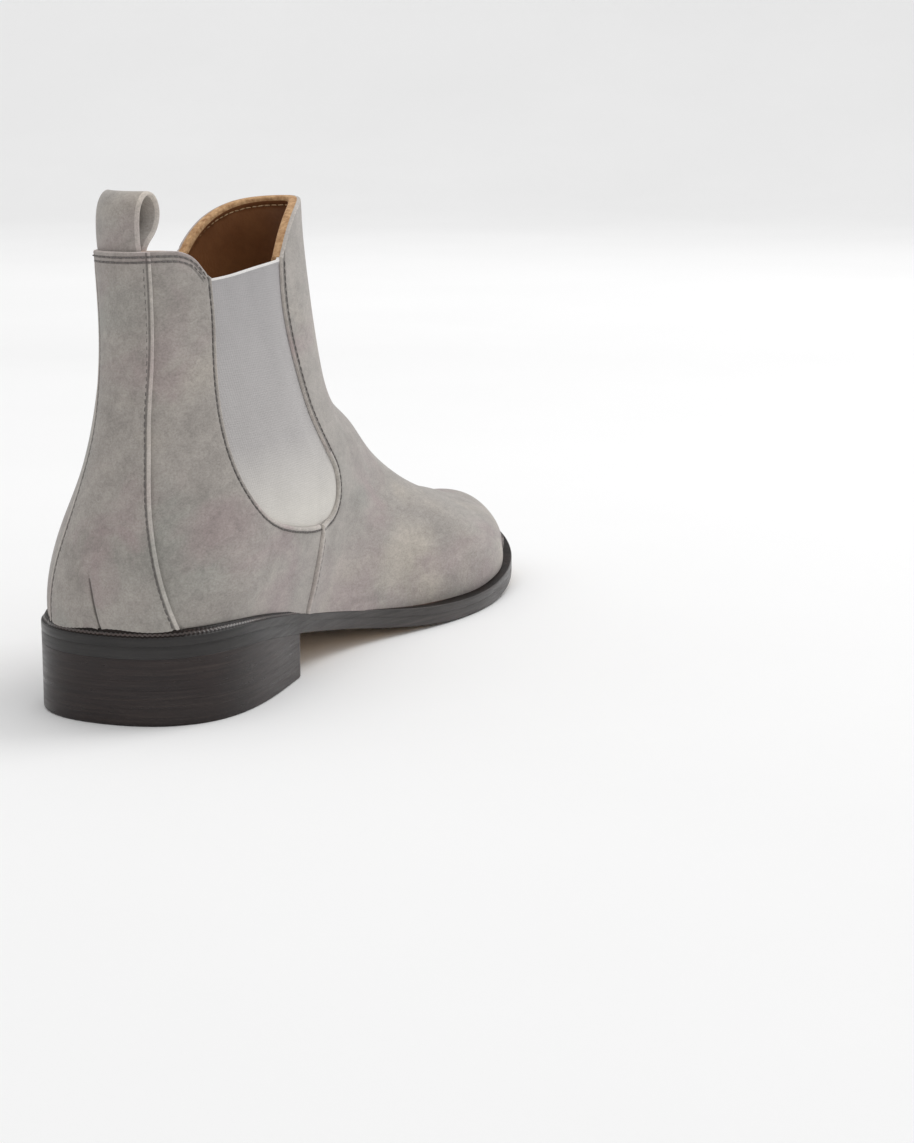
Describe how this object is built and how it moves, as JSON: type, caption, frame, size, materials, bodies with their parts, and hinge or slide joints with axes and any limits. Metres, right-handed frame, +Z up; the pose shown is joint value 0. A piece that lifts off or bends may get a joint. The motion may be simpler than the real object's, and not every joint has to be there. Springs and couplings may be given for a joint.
{
  "type": "chelsea boot",
  "caption": "Left suede chelsea boot with elastic side gores, rear pull loop, leather sole and stacked heel.",
  "frame": {"origin": "centre of the heel's flat bottom face, 40 mm forward of the back of the heel", "axes": "+X from the heel to the toe, +Y to the outer (lateral) side of the left foot, +Z up"},
  "size_m": [0.3, 0.0937, 0.1656],
  "materials": {
    "suede": "matt napped grey suede",
    "elastic": "fine woven elastic",
    "lining_leather": "smooth brown leather, tan at its cut edges",
    "stiffener": "matt pressed fibre",
    "dark_leather": "polished espresso sole edge",
    "sole_leather": "natural tan sole leather",
    "insole_leather": "matt vegetable-tanned leather",
    "sock_leather": "smooth brown leather",
    "foam": "matt latex foam",
    "cork": "matt granular cork",
    "top_rubber": "satin black-brown rubber",
    "spring_steel": "blued spring steel",
    "nail_steel": "bright wire nails"
  },
  "bodies": {
    "boot": {"vamp": "suede", "quarter_medial": "suede", "quarter_lateral": "suede", "backstay": "suede", "pull_loop_tail": "suede", "gore_medial": "elastic", "gore_lateral": "elastic", "vamp_lining": "lining_leather", "quarter_lining_medial": "lining_leather", "quarter_lining_lateral": "lining_leather", "vamp_interlining": "stiffener", "toe_puff": "stiffener", "heel_counter": "stiffener", "welt": "dark_leather", "outsole": "sole_leather", "heel_wedge": "dark_leather", "heel_lift_1": "dark_leather", "heel_lift_2": "dark_leather", "heel_lift_3": "dark_leather", "heel_top_piece": "top_rubber", "insole": "insole_leather", "sock_liner": "sock_leather", "heel_pad": "foam", "cork_filler": "cork", "shank": "spring_steel", "heel_nails": "nail_steel", "top_piece_nails": "nail_steel"},
    "loop": {"pull_loop": "suede"}
  },
  "joints": [
    {"name": "loop_flop", "type": "hinge", "parent": "boot", "child": "loop", "pos_m": [-0.0175, 0.0038, 0.1494], "axis": [0.1392, 0.9903, 0], "range_deg": [-22, 35], "stiffness_Nm_per_rad": 0.01}
  ]
}
